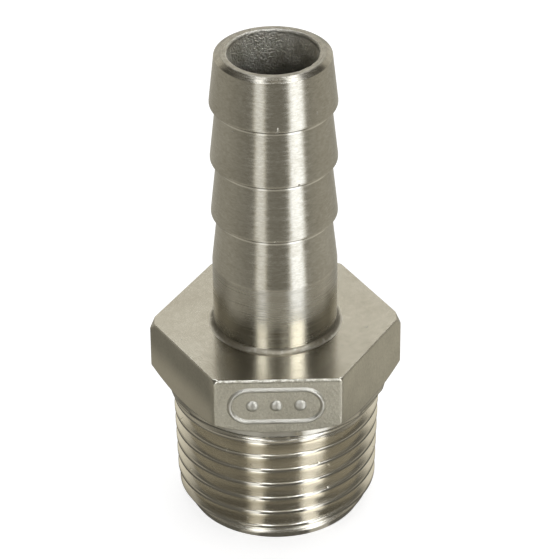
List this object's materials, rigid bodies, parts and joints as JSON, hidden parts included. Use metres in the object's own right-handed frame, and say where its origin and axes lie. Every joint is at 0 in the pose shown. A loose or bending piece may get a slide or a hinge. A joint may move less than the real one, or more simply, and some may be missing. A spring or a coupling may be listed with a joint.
{
  "type": "hose barb tail",
  "caption": "Cast and turned stainless steel hose tail: a barbed stem for a flexible hose, a spanner hexagon, and a male taper pipe thread, with a bore through all of it.",
  "frame": {"origin": "centre of the threaded end's flat face, on which the fitting stands", "axes": "+Z along the bore from the threaded end to the hose end; -Y out of the hexagon flat that carries the raised oval frame"},
  "size_m": [0.0256, 0.0225, 0.052],
  "materials": {
    "steel": "turned on the stem, barbs, hexagon ends and thread, as cast on the hexagon flats and in the bore"
  },
  "bodies": {
    "root": {"hose_barb_tail": "steel"}
  },
  "joints": []
}
